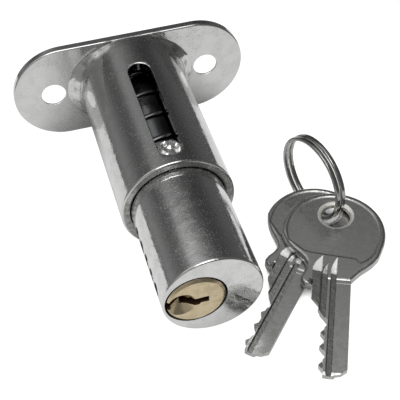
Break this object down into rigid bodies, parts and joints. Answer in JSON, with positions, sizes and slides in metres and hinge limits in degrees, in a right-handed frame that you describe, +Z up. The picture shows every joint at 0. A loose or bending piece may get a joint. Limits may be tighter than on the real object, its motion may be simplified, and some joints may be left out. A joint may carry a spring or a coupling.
{
  "type": "furniture push lock with keys",
  "caption": "Chromed push lock: a spring-loaded key plunger slides in a flanged barrel and throws a round bolt out of its back; two keys on a split ring.",
  "frame": {"origin": "middle of the mounting flange's back face, on the barrel's axis, which is also the middle of its two screw holes", "axes": "+Z up with the lock lying on its side, +Y out of the flange's back along the barrel's axis, -Y toward the key end, +X toward the keys"},
  "size_m": [0.075, 0.0961, 0.0264],
  "materials": {
    "housing_chrome": "polished chrome on a zinc casting",
    "plunger_chrome": "polished chrome on turned brass",
    "plug_brass": "plain machined brass",
    "pin_brass": "turned brass",
    "pin_steel": "turned steel",
    "spring_steel": "oiled spring wire",
    "plated_steel": "zinc plated",
    "lug_steel": "rough, bright from staking",
    "key_nickel": "nickel plated and satin",
    "ring_steel": "bright nickel plated"
  },
  "bodies": {
    "housing_body": {"housing": "housing_chrome", "main_spring": "spring_steel"},
    "plunger_body": {"plunger": "plunger_chrome", "rear_plate": "plated_steel", "bolt_rod": "plated_steel", "plate_screws": "plated_steel", "guide_lug": "lug_steel", "pin_spring_1": "spring_steel", "pin_spring_2": "spring_steel", "pin_spring_3": "spring_steel", "pin_spring_4": "spring_steel", "pin_spring_5": "spring_steel"},
    "plug_body": {"plug": "plug_brass", "plug_clip": "spring_steel"},
    "latch_body": {"latch_plate": "plated_steel"},
    "ring_body": {"key_ring": "ring_steel"},
    "key_body": {"key_1": "key_nickel"},
    "spare_key_body": {"key_2": "key_nickel"},
    "key_pin_body_1": {"key_pin_1": "pin_brass"},
    "driver_body_1": {"driver_pin_1": "pin_steel"},
    "key_pin_body_2": {"key_pin_2": "pin_brass"},
    "driver_body_2": {"driver_pin_2": "pin_steel"},
    "key_pin_body_3": {"key_pin_3": "pin_brass"},
    "driver_body_3": {"driver_pin_3": "pin_steel"},
    "key_pin_body_4": {"key_pin_4": "pin_brass"},
    "driver_body_4": {"driver_pin_4": "pin_steel"},
    "key_pin_body_5": {"key_pin_5": "pin_brass"},
    "driver_body_5": {"driver_pin_5": "pin_steel"}
  },
  "joints": [
    {"name": "plunger_push", "type": "slide", "parent": "housing_body", "child": "plunger_body", "axis": [0, 1, 0], "range_m": [0, 0.026], "stiffness_N_per_m": 600, "springref_m": -0.012, "deforming": ["main_spring"]},
    {"name": "plug_turn", "type": "hinge", "parent": "plunger_body", "child": "plug_body", "pos_m": [-0.0037, -0.06, 0], "axis": [0, 1, 0], "range_deg": [0, 90]},
    {"name": "latch_draw", "type": "slide", "parent": "plunger_body", "child": "latch_body", "axis": [0, 0, 1], "range_m": [0, 0.00212]},
    {"name": "key_pin_drop_1", "type": "slide", "parent": "plug_body", "child": "key_pin_body_1", "axis": [-1, 0, 0], "range_m": [0, 0.0024]},
    {"name": "key_pin_drop_2", "type": "slide", "parent": "plug_body", "child": "key_pin_body_2", "axis": [-1, 0, 0], "range_m": [0, 0.00025]},
    {"name": "key_pin_drop_3", "type": "slide", "parent": "plug_body", "child": "key_pin_body_3", "axis": [-1, 0, 0], "range_m": [0, 0.00075]},
    {"name": "key_pin_drop_4", "type": "slide", "parent": "plug_body", "child": "key_pin_body_4", "axis": [-1, 0, 0], "range_m": [0, 0.00035]},
    {"name": "key_pin_drop_5", "type": "slide", "parent": "plug_body", "child": "key_pin_body_5", "axis": [-1, 0, 0], "range_m": [0, 0.0007]},
    {"name": "driver_push_1", "type": "slide", "parent": "plunger_body", "child": "driver_body_1", "axis": [1, 0, 0], "range_m": [0, 0.0017], "stiffness_N_per_m": 120, "springref_m": -0.003, "deforming": ["pin_spring_1"]},
    {"name": "driver_push_2", "type": "slide", "parent": "plunger_body", "child": "driver_body_2", "axis": [1, 0, 0], "range_m": [0, 0.0017], "stiffness_N_per_m": 120, "springref_m": -0.003, "deforming": ["pin_spring_2"]},
    {"name": "driver_push_3", "type": "slide", "parent": "plunger_body", "child": "driver_body_3", "axis": [1, 0, 0], "range_m": [0, 0.0017], "stiffness_N_per_m": 120, "springref_m": -0.003, "deforming": ["pin_spring_3"]},
    {"name": "driver_push_4", "type": "slide", "parent": "plunger_body", "child": "driver_body_4", "axis": [1, 0, 0], "range_m": [0, 0.0017], "stiffness_N_per_m": 120, "springref_m": -0.003, "deforming": ["pin_spring_4"]},
    {"name": "driver_push_5", "type": "slide", "parent": "plunger_body", "child": "driver_body_5", "axis": [1, 0, 0], "range_m": [0, 0.0017], "stiffness_N_per_m": 120, "springref_m": -0.003, "deforming": ["pin_spring_5"]},
    {"name": "ring_lift", "type": "slide", "parent": "housing_body", "child": "ring_body", "axis": [0, 0, 1], "range_m": [0, 0.05]},
    {"name": "key_lift", "type": "hinge", "parent": "ring_body", "child": "key_body", "pos_m": [0.0331, -0.047, -0.00268], "axis": [-0.9613, -0.2756, 0], "range_deg": [0, 60]},
    {"name": "spare_key_swing", "type": "hinge", "parent": "ring_body", "child": "spare_key_body", "pos_m": [0.0346, -0.05195, -0.01062], "axis": [-0.0239, -0.0254, 0.9994], "range_deg": [0, 20]}
  ],
  "couplings": [
    {"joint": "latch_draw", "follows": "plug_turn", "m_per_rad": 0.0013505}
  ]
}
